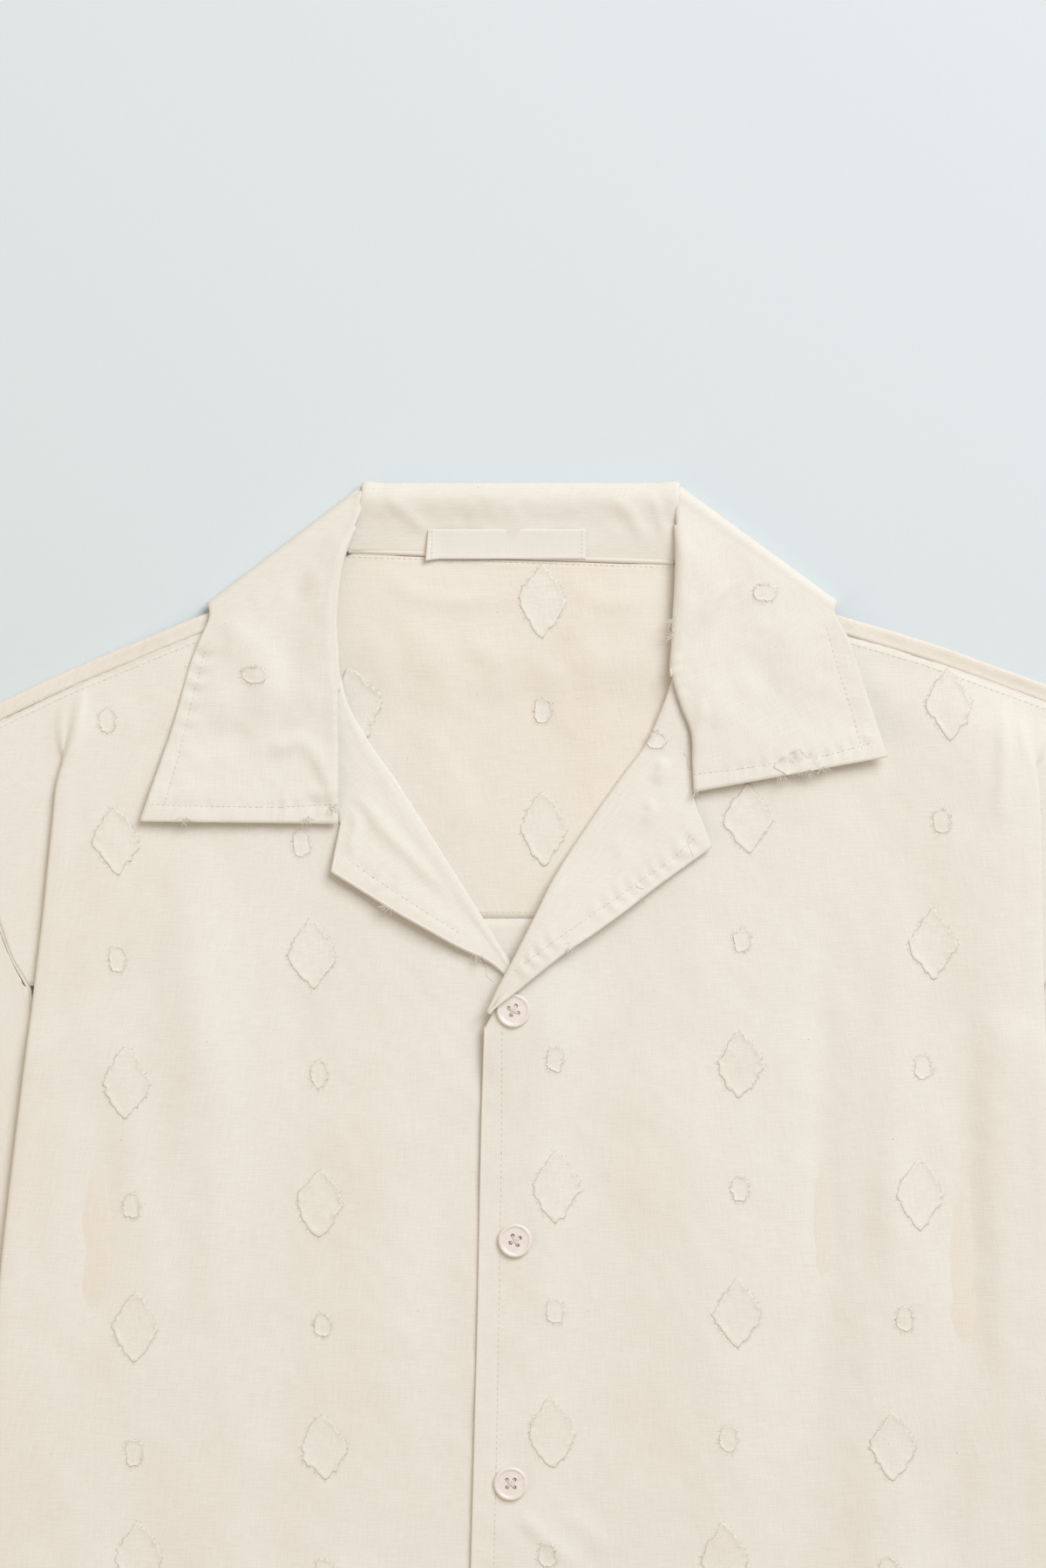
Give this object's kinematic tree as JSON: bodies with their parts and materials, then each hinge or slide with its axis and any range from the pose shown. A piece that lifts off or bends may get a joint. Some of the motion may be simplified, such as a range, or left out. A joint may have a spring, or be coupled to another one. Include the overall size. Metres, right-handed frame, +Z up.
{
  "type": "camp-collar shirt laid flat",
  "caption": "Short-sleeved camp-collar shirt in clipped jacquard cotton, buttoned and laid flat on its back with the collar open.",
  "frame": {"origin": "centre of the laid shirt's outline, on the surface that it lies on", "axes": "+Y from hem to collar, +X towards the wearer's left sleeve, +Z up from the surface"},
  "size_m": [0.7332, 0.7852, 0.0135],
  "materials": {
    "cotton": "unbleached plain-woven cotton with clipped jacquard motifs, matt",
    "label_tape": "off-white woven tape, bare",
    "button_shell": "pearly pinkish white"
  },
  "bodies": {
    "root": {"back": "cotton", "yoke": "cotton", "front_right": "cotton", "front_left": "cotton", "sleeve_right": "cotton", "sleeve_left": "cotton", "collar": "cotton", "facing_right": "cotton", "facing_left": "cotton", "label": "label_tape", "button_1": "button_shell", "button_2": "button_shell", "button_3": "button_shell", "button_4": "button_shell", "button_5": "button_shell"}
  },
  "joints": []
}
